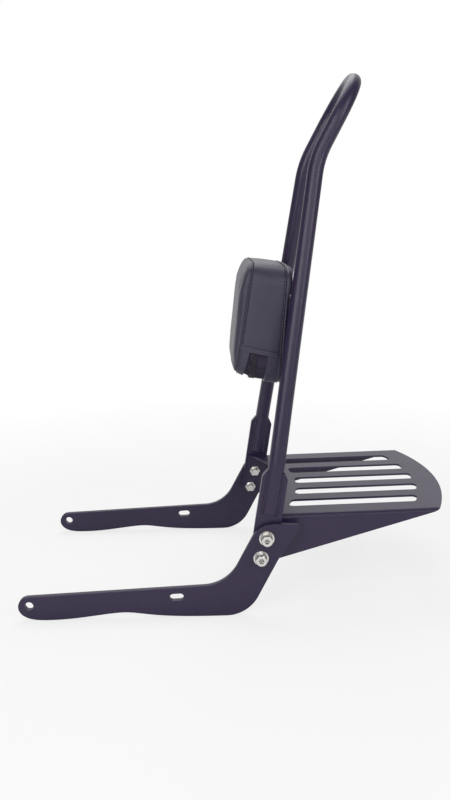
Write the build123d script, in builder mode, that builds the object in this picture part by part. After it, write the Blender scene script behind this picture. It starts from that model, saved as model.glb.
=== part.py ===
from build123d import *
from math import cos, radians, sin, tan
import os

# A bolt-on sissy bar for a motorcycle: two side plates, a tube hoop on welded tabs, a folded sheet
# luggage rack and a zipped backrest pad. Lengths are in millimetres and angles in degrees.
# The origin is midway between the two front strut holes, which share the Y axis.
# +X runs to the rear of the motorcycle, +Y to its right and +Z up.

# Side plates
OUTSIDE_WIDTH = 253.0
PLATE_THICKNESS = 6.0
STRUT_HOLE = 10.0
STRUT_SLOT_X = 170.0
STRUT_SLOT_Z = 6.4
STRUT_SLOT_LENGTH = 16.5
STRUT_SLOT_WIDTH = 8.5
NOSE_RADIUS = 11.8
NOSE_CENTRE = (-1.0, -1.0)
NOSE_UNDERCUT_ANGLE = 215.0
TOP_EDGE_RISE = 2.3
LOBE_DEPTH = 17.5
WAIST_DEPTH = 10.7
FRONT_LOBE_X = 19.0
WAIST_X = 104.0
REAR_LOBE_X = 213.0
HEEL_RADIUS = 42.0
ARM_LEAN = 28.3
ARM_WIDTH = 39.0
ARM_REAR_X = 261.7
ARM_BEND_RADIUS = 46.0
HEAD_KINK_Z = 49.0
HEAD_KINK_RADIUS = 60.0
HEAD_TOP = 92.0
HEAD_FRONT_RADIUS = 28.0
HEAD_REAR = (316.0, 89.5)
HEAD_REAR_RADIUS = 2.5
PLATE_EDGE_RADIUS = 0.8

# Legs and hoop
LEG_LEAN = 9.05
LEG_X = 278.7
LEG_Z = 100.0
TUBE_DIAMETER = 19.0
TUBE_WALL = 2.0
TUBE_END = 2.0
TAPER_START = 57.0
TAPER_BEND_RADIUS = 60.0
KNEE_HEIGHT = 414.0
KNEE_BEND_RADIUS = 107.0
HOOP_LEAN = 28.2
HOOP_HALF_WIDTH = 58.0
HOOP_STRAIGHT = 51.0

# Tabs that the slit tube ends are welded over
TAB_THICKNESS = 8.0
TAB_WIDTH = 29.5
TAB_TOP = 52.0
TAB_SHOULDER_HEIGHT = 8.0
TAB_SHOULDER_WIDTH = 5.0
TAB_FOOT = 51.0

# Bolted joint between plate, tab and rack
BOLT_DIAMETER = 8.0
BOLT_LENGTH = 30.0
BOLT_HOLE = 8.6
BOLT_DROP = 25.7
BOLT_PITCH = 24.2
BOLT_SKEW = 7.3
BOLT_HEAD_DIAMETER = 13.0
BOLT_HEAD_HEIGHT = 8.0
BOLT_HEAD_CHAMFER = 0.8
BOLT_SOCKET = 6.0
BOLT_SOCKET_DEPTH = 4.0
WASHER_DIAMETER = 17.5
WASHER_THICKNESS = 1.6
NUT_ACROSS_FLATS = 13.0
NUT_THICKNESS = 6.5
THREAD_GAP = 0.05

# Luggage rack
SHEET = 2.5
FOLD_RADIUS = 2.5
DECK_X = 300.0
DECK_Z = 96.7
DECK_RISE = 0.96
DECK_FRONT_CENTRE = -184.0
DECK_FRONT_RADIUS = 189.0
DECK_REAR_CENTRE = -57.0
DECK_REAR_RADIUS = 260.0
DECK_CORNER_RADIUS = 10.0
DECK_SLOTS = 5
DECK_SLOT_WIDTH = 20.5
DECK_SLOT_PITCH = 38.5
DECK_SLOT_CORNER = 6.0
DECK_FRONT_WEB = 16.0
DECK_REAR_WEB = 29.0
FLANGE_FRONT = 11.4
FLANGE_KNEE_DROP = 38.0
FLANGE_HEEL = (251.5, 33.0)
FLANGE_HEEL_RADIUS = 10.0
FLANGE_TIP_X = 478.0
FLANGE_KNEE_RADIUS = 30.0

# Backrest pad
PAD_WIDTH = 156.0
PAD_HEIGHT = 139.0
PAD_MIDDLE = 212.0
PAD_CORNER_RADIUS = 20.0
PAD_SEAM_FORWARD = 55.0
PAD_BACK_FORWARD = 6.9
PAD_BACK_LEAN = 5.0
FRONT_DEPTH = 12.0
FRONT_ROLL = 28.0
FRONT_SECTIONS = 4
COVER_THICKNESS = 1.2
COVER_GAP = 0.3
HEM_RISE = 34.5
HEM_HEIGHT = 4.0
ZIP_SETBACK = 8.2
ZIP_OPENING = 22.8
ZIP_CHAIN_WIDTH = 8.0
ZIP_CHAIN_HEIGHT = 0.6
ZIP_TAPE_THICKNESS = 0.8
SLIDER_LENGTH = 14.0
SLIDER_WIDTH = 11.0
SLIDER_HEIGHT = 2.4
SLIDER_FROM_HEM = 12.0
BOARD_THICKNESS = 6.0

# Cross plate between the legs, and what holds the pad to it
CROSS_PLATE_THICKNESS = 4.0
CROSS_PLATE_HEIGHT = 70.0
CROSS_PLATE_LAP = 4.0
CROSS_PLATE_WINDOW = 40.0
PAD_SCREW_SPACING = 90.0
PAD_SCREW_LENGTH = 20.0
PAD_SCREW_HEAD_HEIGHT = 5.3
TEE_NUT_BARREL = 10.0
TEE_NUT_FLANGE = 19.0
TEE_NUT_FLANGE_THICKNESS = 1.6
FOAM_POCKET_DEPTH = 14.0

# Places that follow from the sizes
plate_inside = OUTSIDE_WIDTH / 2 - PLATE_THICKNESS
rack_outside = plate_inside - TAB_THICKNESS
leg_half_spacing = plate_inside - TAB_THICKNESS / 2
tube_radius = TUBE_DIAMETER / 2
bolt_hole_radius = BOLT_HOLE / 2
leg_up = Vector(sin(radians(LEG_LEAN)), 0, cos(radians(LEG_LEAN)))
leg_back = Vector(cos(radians(LEG_LEAN)), 0, -sin(radians(LEG_LEAN)))
leg_origin = Vector(LEG_X, 0, LEG_Z)
# On the leg plane, x runs rearward across the leg, y up along it and z out to the left.
leg_plane = Plane(origin=leg_origin, x_dir=leg_back, z_dir=(0, -1, 0))
bolt_line = Vector(-sin(radians(BOLT_SKEW)), -cos(radians(BOLT_SKEW)))
upper_bolt = Vector(0, -BOLT_DROP)
lower_bolt = upper_bolt + bolt_line * BOLT_PITCH
centre_base = (Align.CENTER, Align.CENTER, Align.MIN)
centre_top = (Align.CENTER, Align.CENTER, Align.MAX)

os.makedirs("parts", exist_ok=True)


def leg_point(along, across=0.0, sideways=0.0):
    """A point given along and across the leaning legs, and sideways in Y."""
    return leg_origin + leg_up * along + leg_back * across + Vector(0, sideways, 0)


def save(builder, name):
    """Names a finished piece and writes it."""
    builder.part.label = name
    export_step(builder.part, f"parts/{name}.step")


def bolt_planes(distance):
    """Planes that face outward on the four bolt axes, at a distance from mid-width."""
    planes = []
    for bolt in (upper_bolt, lower_bolt):
        place = leg_point(bolt.Y, bolt.X)
        for side in (-1, 1):
            origin = place + Vector(0, side * distance, 0)
            planes.append(Plane(origin=origin, x_dir=(1, 0, 0), z_dir=(0, side, 0)))
    return planes


# Bores for the joint bolts, right across the part
with BuildPart() as bolt_bores:
    with BuildSketch(leg_plane):
        with Locations(upper_bolt, lower_bolt):
            Circle(bolt_hole_radius)
    extrude(amount=OUTSIDE_WIDTH, both=True)

# Side plate: a slender bar with two lobes below, an arm that turns up at the rear, and a flat head
arm_slope = tan(radians(ARM_LEAN))
arm_front_x = ARM_REAR_X - ARM_WIDTH / cos(radians(ARM_LEAN))
top_edge_slope = tan(radians(TOP_EDGE_RISE))
nose = Vector(*NOSE_CENTRE)
nose_top = nose + Vector(0, NOSE_RADIUS).rotate(Axis.Z, TOP_EDGE_RISE)
nose_tip = nose + Vector(-NOSE_RADIUS, 0)
nose_end = nose + Vector(NOSE_RADIUS, 0).rotate(Axis.Z, NOSE_UNDERCUT_ANGLE)
nose_end_heading = Vector(0, 1).rotate(Axis.Z, NOSE_UNDERCUT_ANGLE)
# The top edge and the arm's front edge cross at the bend.
level_bend_z = nose_top.Y + top_edge_slope * (arm_front_x - nose_top.X)
bend_z = level_bend_z / (1 - top_edge_slope * arm_slope)
bend = (arm_front_x + arm_slope * bend_z, bend_z)
heel = (ARM_REAR_X - arm_slope * LOBE_DEPTH, -LOBE_DEPTH)
head_kink = (ARM_REAR_X + arm_slope * HEAD_KINK_Z, HEAD_KINK_Z)
head_front = (arm_front_x + arm_slope * HEAD_TOP, HEAD_TOP)
rear_lobe = (REAR_LOBE_X, -LOBE_DEPTH)
plate_corner_radii = [
    HEEL_RADIUS,
    HEAD_KINK_RADIUS,
    HEAD_REAR_RADIUS,
    HEAD_FRONT_RADIUS,
    ARM_BEND_RADIUS,
]

with BuildPart() as left_side_plate:
    with BuildSketch(Plane.XZ.offset(plate_inside)):
        with BuildLine():
            Spline(
                nose_end,
                (FRONT_LOBE_X, -LOBE_DEPTH),
                (WAIST_X, -WAIST_DEPTH),
                rear_lobe,
                tangents=[nose_end_heading, (1, 0)],
            )
            FilletPolyline(
                rear_lobe,
                heel,
                head_kink,
                HEAD_REAR,
                head_front,
                bend,
                nose_top,
                radius=plate_corner_radii,
            )
            ThreePointArc(nose_top, nose_tip, nose_end)
        make_face()
    extrude(amount=PLATE_THICKNESS)
    plate_faces = left_side_plate.faces().filter_by(Axis.Y)
    fillet(plate_faces.edges(), PLATE_EDGE_RADIUS)
    with BuildSketch(Plane.XZ):
        Circle(STRUT_HOLE / 2)
        with Locations((STRUT_SLOT_X, STRUT_SLOT_Z)):
            SlotOverall(STRUT_SLOT_LENGTH, STRUT_SLOT_WIDTH, rotation=TOP_EDGE_RISE)
    extrude(amount=OUTSIDE_WIDTH, mode=Mode.SUBTRACT)
    add(bolt_bores.part, mode=Mode.SUBTRACT)
save(left_side_plate, "left_side_plate")

with BuildPart() as right_side_plate:
    mirror(left_side_plate.part, about=Plane.XZ)
save(right_side_plate, "right_side_plate")

# Tab: a flat bar with cut shoulders, which fills the slit in the tube's end
tab_half = TAB_WIDTH / 2
tab_shoulder_half = tab_half - TAB_SHOULDER_WIDTH
tab_shoulder = TAB_TOP - TAB_SHOULDER_HEIGHT

with BuildPart() as left_tab:
    with BuildSketch(leg_plane.offset(rack_outside)):
        with BuildLine():
            Polyline(
                (tab_half, -TAB_FOOT),
                (tab_half, tab_shoulder),
                (tab_shoulder_half, TAB_TOP),
                (-tab_shoulder_half, TAB_TOP),
                (-tab_half, tab_shoulder),
                (-tab_half, -TAB_FOOT),
            )
            ThreePointArc((-tab_half, -TAB_FOOT), (0, -TAB_FOOT - tab_half), (tab_half, -TAB_FOOT))
        make_face()
    extrude(amount=TAB_THICKNESS)
    add(bolt_bores.part, mode=Mode.SUBTRACT)
save(left_tab, "left_tab")

with BuildPart() as right_tab:
    mirror(left_tab.part, about=Plane.XZ)
save(right_tab, "right_tab")

# Hoop: one tube that leans back on the tabs, narrows upward, bends at the knee and closes in a half circle
hoop_back = Vector(sin(radians(HOOP_LEAN)), 0, cos(radians(HOOP_LEAN)))
knee = leg_point(KNEE_HEIGHT)
hoop_shoulder = knee + hoop_back * HOOP_STRAIGHT
hoop_apex = hoop_shoulder + hoop_back * HOOP_HALF_WIDTH
leg_corners = [
    leg_point(TUBE_END, 0, -leg_half_spacing),
    leg_point(TAPER_START, 0, -leg_half_spacing),
    knee + Vector(0, -HOOP_HALF_WIDTH, 0),
    hoop_shoulder + Vector(0, -HOOP_HALF_WIDTH, 0),
]
other_leg_corners = [Vector(p.X, -p.Y, p.Z) for p in reversed(leg_corners)]
leg_radii = [TAPER_BEND_RADIUS, KNEE_BEND_RADIUS]

with BuildLine() as hoop_path:
    FilletPolyline(*leg_corners, radius=leg_radii)
    ThreePointArc(leg_corners[-1], hoop_apex, other_leg_corners[0])
    FilletPolyline(*other_leg_corners, radius=leg_radii[::-1])
tube_start = Plane(origin=leg_corners[0], z_dir=leg_up)

with BuildPart() as hoop_rod:
    with BuildSketch(tube_start):
        Circle(tube_radius)
    sweep(path=hoop_path.wires()[0])

with BuildPart() as hoop:
    with BuildSketch(tube_start):
        Circle(tube_radius)
        Circle(tube_radius - TUBE_WALL, mode=Mode.SUBTRACT)
    sweep(path=hoop_path.wires()[0])
    add(left_tab.part, mode=Mode.SUBTRACT)
    add(right_tab.part, mode=Mode.SUBTRACT)
save(hoop, "hoop")

# Luggage rack: a sheet folded down along both sides, with long slots between two arcs
deck_along = Vector(cos(radians(DECK_RISE)), 0, sin(radians(DECK_RISE)))
deck_normal = Vector(-sin(radians(DECK_RISE)), 0, cos(radians(DECK_RISE)))
deck_plane = Plane(origin=(DECK_X, 0, DECK_Z), x_dir=deck_along, z_dir=deck_normal)
channel_plane = Plane(origin=deck_plane.origin, x_dir=(0, 1, 0), z_dir=deck_along)
rack_width = 2 * rack_outside
deck_inside = rack_outside - SHEET - FOLD_RADIUS
# The channel is drawn as deep as the flange, and long enough for the side outline to trim it.
channel_depth = DECK_Z - FLANGE_HEEL[1] + (DECK_X - FLANGE_HEEL[0]) * tan(radians(DECK_RISE)) + SHEET
channel_length = FLANGE_TIP_X - FLANGE_HEEL[0]
deck_tip_z = DECK_Z + (FLANGE_TIP_X - DECK_X) * tan(radians(DECK_RISE))
flange_top = leg_point(0, -FLANGE_FRONT)
flange_knee = leg_point(-FLANGE_KNEE_DROP, -FLANGE_FRONT)
above_deck = deck_tip_z + SHEET
deck_rear_x = DECK_X + DECK_REAR_CENTRE + DECK_REAR_RADIUS

with BuildPart() as luggage_rack:
    with BuildSketch(channel_plane) as channel_outside:
        Rectangle(rack_width, channel_depth, align=(Align.CENTER, Align.MAX))
        fillet(channel_outside.vertices().group_by(Axis.Y)[-1], FOLD_RADIUS + SHEET)
    extrude(amount=channel_length, both=True)
    with BuildSketch(channel_plane.offset(-channel_length)) as channel_inside:
        with Locations((0, -SHEET)):
            Rectangle(rack_width - 2 * SHEET, channel_depth, align=(Align.CENTER, Align.MAX))
        fillet(channel_inside.vertices().group_by(Axis.Y)[-1], FOLD_RADIUS)
    extrude(amount=2 * channel_length, mode=Mode.SUBTRACT)
    with BuildSketch(Plane.XZ):
        with BuildLine():
            FilletPolyline(
                (flange_top.X, above_deck),
                (flange_knee.X, flange_knee.Z),
                FLANGE_HEEL,
                (FLANGE_TIP_X, deck_tip_z - SHEET),
                radius=[FLANGE_KNEE_RADIUS, FLANGE_HEEL_RADIUS],
            )
            Polyline(
                (FLANGE_TIP_X, deck_tip_z - SHEET),
                (deck_rear_x, deck_tip_z - SHEET),
                (deck_rear_x, above_deck),
                (flange_top.X, above_deck),
            )
        make_face()
    extrude(amount=rack_outside, both=True, mode=Mode.INTERSECT)
    with BuildSketch(deck_plane) as plan:
        with Locations((DECK_REAR_CENTRE, 0)):
            Circle(DECK_REAR_RADIUS)
            Rectangle(2 * DECK_REAR_RADIUS, rack_width, mode=Mode.INTERSECT)
        fillet(plan.vertices().group_by(Axis.X)[-1], DECK_CORNER_RADIUS)
    extrude(amount=channel_depth, both=True, mode=Mode.INTERSECT)
    with BuildSketch(deck_plane):
        with Locations((DECK_FRONT_CENTRE, 0)):
            Circle(DECK_FRONT_RADIUS)
        Rectangle(channel_length, 2 * deck_inside, mode=Mode.INTERSECT)
    extrude(amount=-SHEET, mode=Mode.SUBTRACT)
    with BuildSketch(deck_plane) as slots:
        with GridLocations(0, DECK_SLOT_PITCH, 1, DECK_SLOTS):
            Rectangle(2 * channel_length, DECK_SLOT_WIDTH)
        with Locations((DECK_REAR_CENTRE, 0)):
            Circle(DECK_REAR_RADIUS - DECK_REAR_WEB, mode=Mode.INTERSECT)
        with Locations((DECK_FRONT_CENTRE, 0)):
            Circle(DECK_FRONT_RADIUS + DECK_FRONT_WEB, mode=Mode.SUBTRACT)
        fillet(slots.vertices(), DECK_SLOT_CORNER)
    extrude(amount=-SHEET, mode=Mode.SUBTRACT)
    add(bolt_bores.part, mode=Mode.SUBTRACT)
save(luggage_rack, "luggage_rack")

# Joint screws with socket heads, their washers, and the nuts on the rack's inner faces
washer_seat = OUTSIDE_WIDTH / 2
head_seat = washer_seat + WASHER_THICKNESS
head_top = head_seat + BOLT_HEAD_HEIGHT
nut_seat = rack_outside - SHEET

with BuildPart() as joint_screws:
    with Locations(*bolt_planes(head_seat)):
        Cylinder(BOLT_HEAD_DIAMETER / 2, BOLT_HEAD_HEIGHT, align=centre_base)
    head_rims = joint_screws.faces().filter_by(Axis.Y)
    outer_rims = [f for f in head_rims if abs(f.center().Y) > head_seat + BOLT_HEAD_HEIGHT / 2]
    chamfer([f.edges()[0] for f in outer_rims], BOLT_HEAD_CHAMFER)
    with BuildSketch(*bolt_planes(head_top)):
        RegularPolygon(BOLT_SOCKET / 2, 6, major_radius=False)
    extrude(amount=-BOLT_SOCKET_DEPTH, mode=Mode.SUBTRACT)
    with Locations(*bolt_planes(head_seat)):
        Cylinder(BOLT_DIAMETER / 2, BOLT_LENGTH, align=centre_top)
save(joint_screws, "joint_screws")

with BuildPart() as joint_washers:
    with BuildSketch(*bolt_planes(washer_seat)):
        Circle(WASHER_DIAMETER / 2)
        Circle(bolt_hole_radius, mode=Mode.SUBTRACT)
    extrude(amount=WASHER_THICKNESS)
save(joint_washers, "joint_washers")

with BuildPart() as joint_nuts:
    with BuildSketch(*bolt_planes(nut_seat)):
        RegularPolygon(NUT_ACROSS_FLATS / 2, 6, major_radius=False)
        Circle(BOLT_DIAMETER / 2 + THREAD_GAP, mode=Mode.SUBTRACT)
    extrude(amount=-NUT_THICKNESS)
save(joint_nuts, "joint_nuts")

# The pad's front seam lies in a plane along the legs, and its back leans less than they do.
# On both planes x runs to the left, y up and z forward.
seam_plane = Plane(
    origin=leg_point(PAD_MIDDLE, -PAD_SEAM_FORWARD), x_dir=(0, -1, 0), z_dir=leg_back * -1
)
back_forward = Vector(-cos(radians(PAD_BACK_LEAN)), 0, sin(radians(PAD_BACK_LEAN)))
back_plane = Plane(
    origin=leg_point(PAD_MIDDLE, -PAD_BACK_FORWARD), x_dir=(0, -1, 0), z_dir=back_forward
)
screw_places = GridLocations(PAD_SCREW_SPACING, 0, 2, 1)

# Cross plate: welded between the legs, with its ends coped to the tubes
leg_slope = (leg_half_spacing - HOOP_HALF_WIDTH) / (KNEE_HEIGHT - TAPER_START)
cross_half = CROSS_PLATE_HEIGHT / 2
cross_mid = leg_half_spacing - leg_slope * (PAD_MIDDLE - TAPER_START) - CROSS_PLATE_LAP
cross_low = cross_mid + leg_slope * cross_half
cross_high = cross_mid - leg_slope * cross_half

with BuildPart() as cross_plate:
    with BuildSketch(back_plane):
        with BuildLine():
            Polyline(
                (cross_low, -cross_half),
                (cross_high, cross_half),
                (-cross_high, cross_half),
                (-cross_low, -cross_half),
                close=True,
            )
        make_face()
        Circle(CROSS_PLATE_WINDOW / 2, mode=Mode.SUBTRACT)
        with screw_places:
            Circle(bolt_hole_radius, mode=Mode.SUBTRACT)
    extrude(amount=-CROSS_PLATE_THICKNESS)
    add(hoop_rod.part, mode=Mode.SUBTRACT)
save(cross_plate, "cross_plate")

# Pad: a foam block on a board, in a sewn cover whose lower boxing holds a zip
board_plane = back_plane.offset(COVER_THICKNESS)
foam_plane = board_plane.offset(BOARD_THICKNESS)
zip_front_plane = seam_plane.offset(-ZIP_SETBACK)
zip_back_plane = zip_front_plane.offset(-ZIP_OPENING)
zip_middle = -ZIP_SETBACK - ZIP_OPENING / 2
chain_front_plane = seam_plane.offset(zip_middle + ZIP_CHAIN_WIDTH / 2)
chain_back_plane = seam_plane.offset(zip_middle - ZIP_CHAIN_WIDTH / 2)
hem_edge = HEM_RISE - PAD_HEIGHT / 2
hem_top = hem_edge + HEM_HEIGHT
pad_bottom = -PAD_HEIGHT / 2 - COVER_THICKNESS
pad_top = PAD_HEIGHT / 2 + COVER_THICKNESS
tape_inset = COVER_THICKNESS - ZIP_TAPE_THICKNESS
chain_inset = tape_inset - ZIP_CHAIN_HEIGHT
lining = COVER_THICKNESS + COVER_GAP
# The pad's prism is drawn well past its back, which then trims it.
reach = 2 * PAD_SEAM_FORWARD


def pad_prism(inset):
    """The pad's rounded rectangle, drawn in by an inset, from behind the pad to its seam."""
    with BuildPart() as prism:
        with BuildSketch(seam_plane.offset(-reach)):
            width = PAD_WIDTH - 2 * inset
            height = PAD_HEIGHT - 2 * inset
            RectangleRounded(width, height, PAD_CORNER_RADIUS - inset)
        extrude(amount=reach)
    return prism.part


def pad_band(outer, inner, behind, ahead, low, high):
    """A band of the pad's rim: between two insets, two planes and two heights."""
    with BuildPart() as band:
        add(pad_prism(outer))
        add(pad_prism(inner), mode=Mode.SUBTRACT)
        with BuildSketch(seam_plane.offset(-reach)):
            with Locations((0, low)):
                Rectangle(2 * PAD_WIDTH, high - low, align=(Align.CENTER, Align.MIN))
        extrude(amount=2 * reach, mode=Mode.INTERSECT)
        split(bisect_by=behind, keep=Keep.TOP)
        split(bisect_by=ahead, keep=Keep.BOTTOM)
    return band.part


def pad_front(inset):
    """The pad's rolled front, drawn in by an inset: rounded rectangles lofted up an ellipse."""
    depth = FRONT_DEPTH - inset
    roll = FRONT_ROLL - inset
    with BuildPart() as front:
        for step in range(FRONT_SECTIONS + 1):
            turn = radians(90 * step / FRONT_SECTIONS)
            drawn_in = inset + roll * (1 - cos(turn))
            corner = PAD_CORNER_RADIUS - (inset + drawn_in) / 2
            with BuildSketch(seam_plane.offset(depth * sin(turn))):
                RectangleRounded(PAD_WIDTH - 2 * drawn_in, PAD_HEIGHT - 2 * drawn_in, corner)
        loft()
    return front.part


with BuildPart() as pad_back_panel:
    add(pad_prism(0))
    split(bisect_by=back_plane, keep=Keep.TOP)
    split(bisect_by=board_plane, keep=Keep.BOTTOM)
    with BuildSketch(back_plane):
        with screw_places:
            Circle(bolt_hole_radius)
    extrude(amount=COVER_THICKNESS, mode=Mode.SUBTRACT)
save(pad_back_panel, "pad_back_panel")

with BuildPart() as pad_boxing:
    add(pad_band(0, COVER_THICKNESS, board_plane, seam_plane, hem_edge, pad_top))
    add(pad_band(-COVER_THICKNESS, 0, board_plane, seam_plane, hem_edge, hem_top))
save(pad_boxing, "pad_boxing")

with BuildPart() as pad_zip_panel:
    add(pad_band(0, COVER_THICKNESS, board_plane, zip_back_plane, pad_bottom, hem_edge))
    add(pad_band(0, COVER_THICKNESS, zip_front_plane, seam_plane, pad_bottom, hem_edge))
save(pad_zip_panel, "pad_zip_panel")

with BuildPart() as pad_zip:
    add(pad_band(tape_inset, COVER_THICKNESS, zip_back_plane, zip_front_plane, pad_bottom, hem_edge))
    add(pad_band(chain_inset, tape_inset, chain_back_plane, chain_front_plane, pad_bottom, hem_edge))
save(pad_zip, "pad_zip")

slider_place = (chain_inset - PAD_WIDTH / 2, hem_edge - SLIDER_FROM_HEM, zip_middle)
slider_plane = Plane(
    origin=seam_plane.from_local_coords(slider_place), x_dir=leg_up, z_dir=(0, 1, 0)
)

with BuildPart() as pad_zip_slider:
    with BuildSketch(slider_plane):
        SlotOverall(SLIDER_LENGTH, SLIDER_WIDTH)
    extrude(amount=SLIDER_HEIGHT)
save(pad_zip_slider, "pad_zip_slider")

with BuildPart() as pad_front_panel:
    add(pad_front(0))
    add(pad_front(COVER_THICKNESS), mode=Mode.SUBTRACT)
save(pad_front_panel, "pad_front_panel")

with BuildPart() as pad_board:
    add(pad_prism(lining))
    split(bisect_by=board_plane, keep=Keep.TOP)
    split(bisect_by=foam_plane, keep=Keep.BOTTOM)
    with BuildSketch(board_plane):
        with screw_places:
            Circle(TEE_NUT_BARREL / 2 + THREAD_GAP)
    extrude(amount=BOARD_THICKNESS, mode=Mode.SUBTRACT)
save(pad_board, "pad_board")

with BuildPart() as pad_tee_nuts:
    with BuildSketch(foam_plane):
        with screw_places:
            Circle(TEE_NUT_FLANGE / 2)
    extrude(amount=TEE_NUT_FLANGE_THICKNESS)
    with BuildSketch(board_plane):
        with screw_places:
            Circle(TEE_NUT_BARREL / 2)
    extrude(amount=BOARD_THICKNESS)
    with BuildSketch(board_plane):
        with screw_places:
            Circle(BOLT_DIAMETER / 2 + THREAD_GAP)
    extrude(amount=BOARD_THICKNESS + TEE_NUT_FLANGE_THICKNESS, mode=Mode.SUBTRACT)
save(pad_tee_nuts, "pad_tee_nuts")

with BuildPart() as pad_foam:
    add(pad_prism(lining))
    add(pad_front(lining))
    split(bisect_by=foam_plane, keep=Keep.TOP)
    with BuildSketch(foam_plane):
        with screw_places:
            Circle(TEE_NUT_FLANGE / 2 + COVER_GAP)
    extrude(amount=FOAM_POCKET_DEPTH, mode=Mode.SUBTRACT)
save(pad_foam, "pad_foam")

screw_seat_plane = back_plane.offset(-CROSS_PLATE_THICKNESS - WASHER_THICKNESS)

with BuildPart() as pad_screws:
    with BuildSketch(screw_seat_plane):
        with screw_places:
            RegularPolygon(NUT_ACROSS_FLATS / 2, 6, major_radius=False)
    extrude(amount=-PAD_SCREW_HEAD_HEIGHT)
    with BuildSketch(screw_seat_plane):
        with screw_places:
            Circle(BOLT_DIAMETER / 2)
    extrude(amount=PAD_SCREW_LENGTH)
save(pad_screws, "pad_screws")

with BuildPart() as pad_washers:
    with BuildSketch(screw_seat_plane):
        with screw_places:
            Circle(WASHER_DIAMETER / 2)
            Circle(bolt_hole_radius, mode=Mode.SUBTRACT)
    extrude(amount=WASHER_THICKNESS)
save(pad_washers, "pad_washers")
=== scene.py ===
# %% [markdown]
# A sissy bar is a bolt-on backrest for a motorcycle passenger: a bent tube hoop on two side plates, with a
# slotted luggage rack behind it and a small zipped pad in front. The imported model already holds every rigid
# piece at its real size, so this lesson leaves those shapes alone. It gives them their finishes, sews the pad,
# and adds the fine things that a hand would feel: stitches, zip teeth, weld beads, knurls and threads.

import math

import bmesh
import bpy
from mathutils import Matrix, Quaternion, Vector, noise


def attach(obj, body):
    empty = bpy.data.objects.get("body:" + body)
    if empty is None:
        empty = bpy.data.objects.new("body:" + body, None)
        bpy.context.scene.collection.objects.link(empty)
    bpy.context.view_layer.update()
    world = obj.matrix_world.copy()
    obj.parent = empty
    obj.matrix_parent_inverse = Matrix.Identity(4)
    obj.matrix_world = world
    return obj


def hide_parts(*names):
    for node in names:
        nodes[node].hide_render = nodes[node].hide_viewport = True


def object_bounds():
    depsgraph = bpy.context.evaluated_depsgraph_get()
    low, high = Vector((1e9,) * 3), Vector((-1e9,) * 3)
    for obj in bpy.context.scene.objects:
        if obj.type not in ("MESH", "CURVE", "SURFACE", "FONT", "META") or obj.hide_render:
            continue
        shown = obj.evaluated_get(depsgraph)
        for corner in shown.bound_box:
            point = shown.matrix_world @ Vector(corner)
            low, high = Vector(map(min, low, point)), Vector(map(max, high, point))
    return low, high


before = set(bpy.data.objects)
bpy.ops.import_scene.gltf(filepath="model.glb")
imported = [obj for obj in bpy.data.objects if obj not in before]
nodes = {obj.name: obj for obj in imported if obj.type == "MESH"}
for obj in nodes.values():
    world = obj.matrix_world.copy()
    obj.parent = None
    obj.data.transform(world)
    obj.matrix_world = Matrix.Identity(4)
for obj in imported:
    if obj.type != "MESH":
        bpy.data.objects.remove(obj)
cad_low, cad_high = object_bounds()
print("nodes:", len(nodes), "size in mm:", [round(1000 * side) for side in cad_high - cad_low])

# %% [markdown]
# Blender counts in metres here and a workshop counts in millimetres, so sizes below are written as millimetres
# times MM. A piece is made as a bmesh, which is Blender's editable mesh, and one helper turns it into an object
# that rides on the part. Writing the helper once keeps each later cell about the piece and not the bookkeeping.

# %% A helper that turns a bmesh into a piece
MM = 0.001


def finish_piece(name, mesh, finish):
    """Makes an object from a bmesh, gives it a finish and lets it ride on the part."""
    data = bpy.data.meshes.new(name)
    mesh.to_mesh(data)
    mesh.free()
    data.materials.append(finish)
    data.shade_smooth()
    piece = bpy.data.objects.new(name, data)
    bpy.context.scene.collection.objects.link(piece)
    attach(piece, "root")
    print(name, "has", len(data.polygons), "faces")
    return piece


# %% [markdown]
# Materials are node trees. Wiring sums by hand takes many lines, so a small class wraps a socket and lets Python
# operators add the Math nodes: 1 - mask becomes a Subtract node. Every other node comes from one method, which
# sets the node's own options first and then fills its sockets with numbers, colours or links.

# %% Shader sums as Python expressions
class Link:
    """An output socket that can be used in sums."""

    def __init__(self, owner, socket):
        self.owner = owner
        self.socket = socket

    def sum(self, operation, first, second):
        return self.owner.add("ShaderNodeMath", {"operation": operation}, {0: first, 1: second})

    def __add__(self, other):
        return self.sum("ADD", self, other)

    def __sub__(self, other):
        return self.sum("SUBTRACT", self, other)

    def __rsub__(self, other):
        return self.sum("SUBTRACT", other, self)

    def __mul__(self, other):
        return self.sum("MULTIPLY", self, other)

    __radd__ = __add__
    __rmul__ = __mul__


class Nodes:
    """A node tree, and one method for every node that isn't a sum."""

    def __init__(self, tree):
        self.tree = tree

    def feed(self, node, socket, value):
        """Links or sets one input socket."""
        if isinstance(value, Link):
            self.tree.links.new(value.socket, node.inputs[socket])
        else:
            node.inputs[socket].default_value = value

    def add(self, kind, settings, sockets, output=0):
        """Adds a node: its options first, then its sockets."""
        node = self.tree.nodes.new(kind)
        for option, value in settings.items():
            if option == "stops":
                for stop, (place, colour) in zip(node.color_ramp.elements, value):
                    stop.position = place
                    stop.color = colour
            else:
                setattr(node, option, value)
        for socket, value in sockets.items():
            self.feed(node, socket, value)
        return Link(self, node.outputs[output])


print("shader sums ready")

# %% [markdown]
# A finish is a material with one Principled shader. Numbers that are the same all over are set on the shader's
# own sockets when the finish is made, and what varies is painted on afterwards. The methods are what the
# finishes here share: a place, a noise, a tint between two colours, a stretch and a relief.

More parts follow.
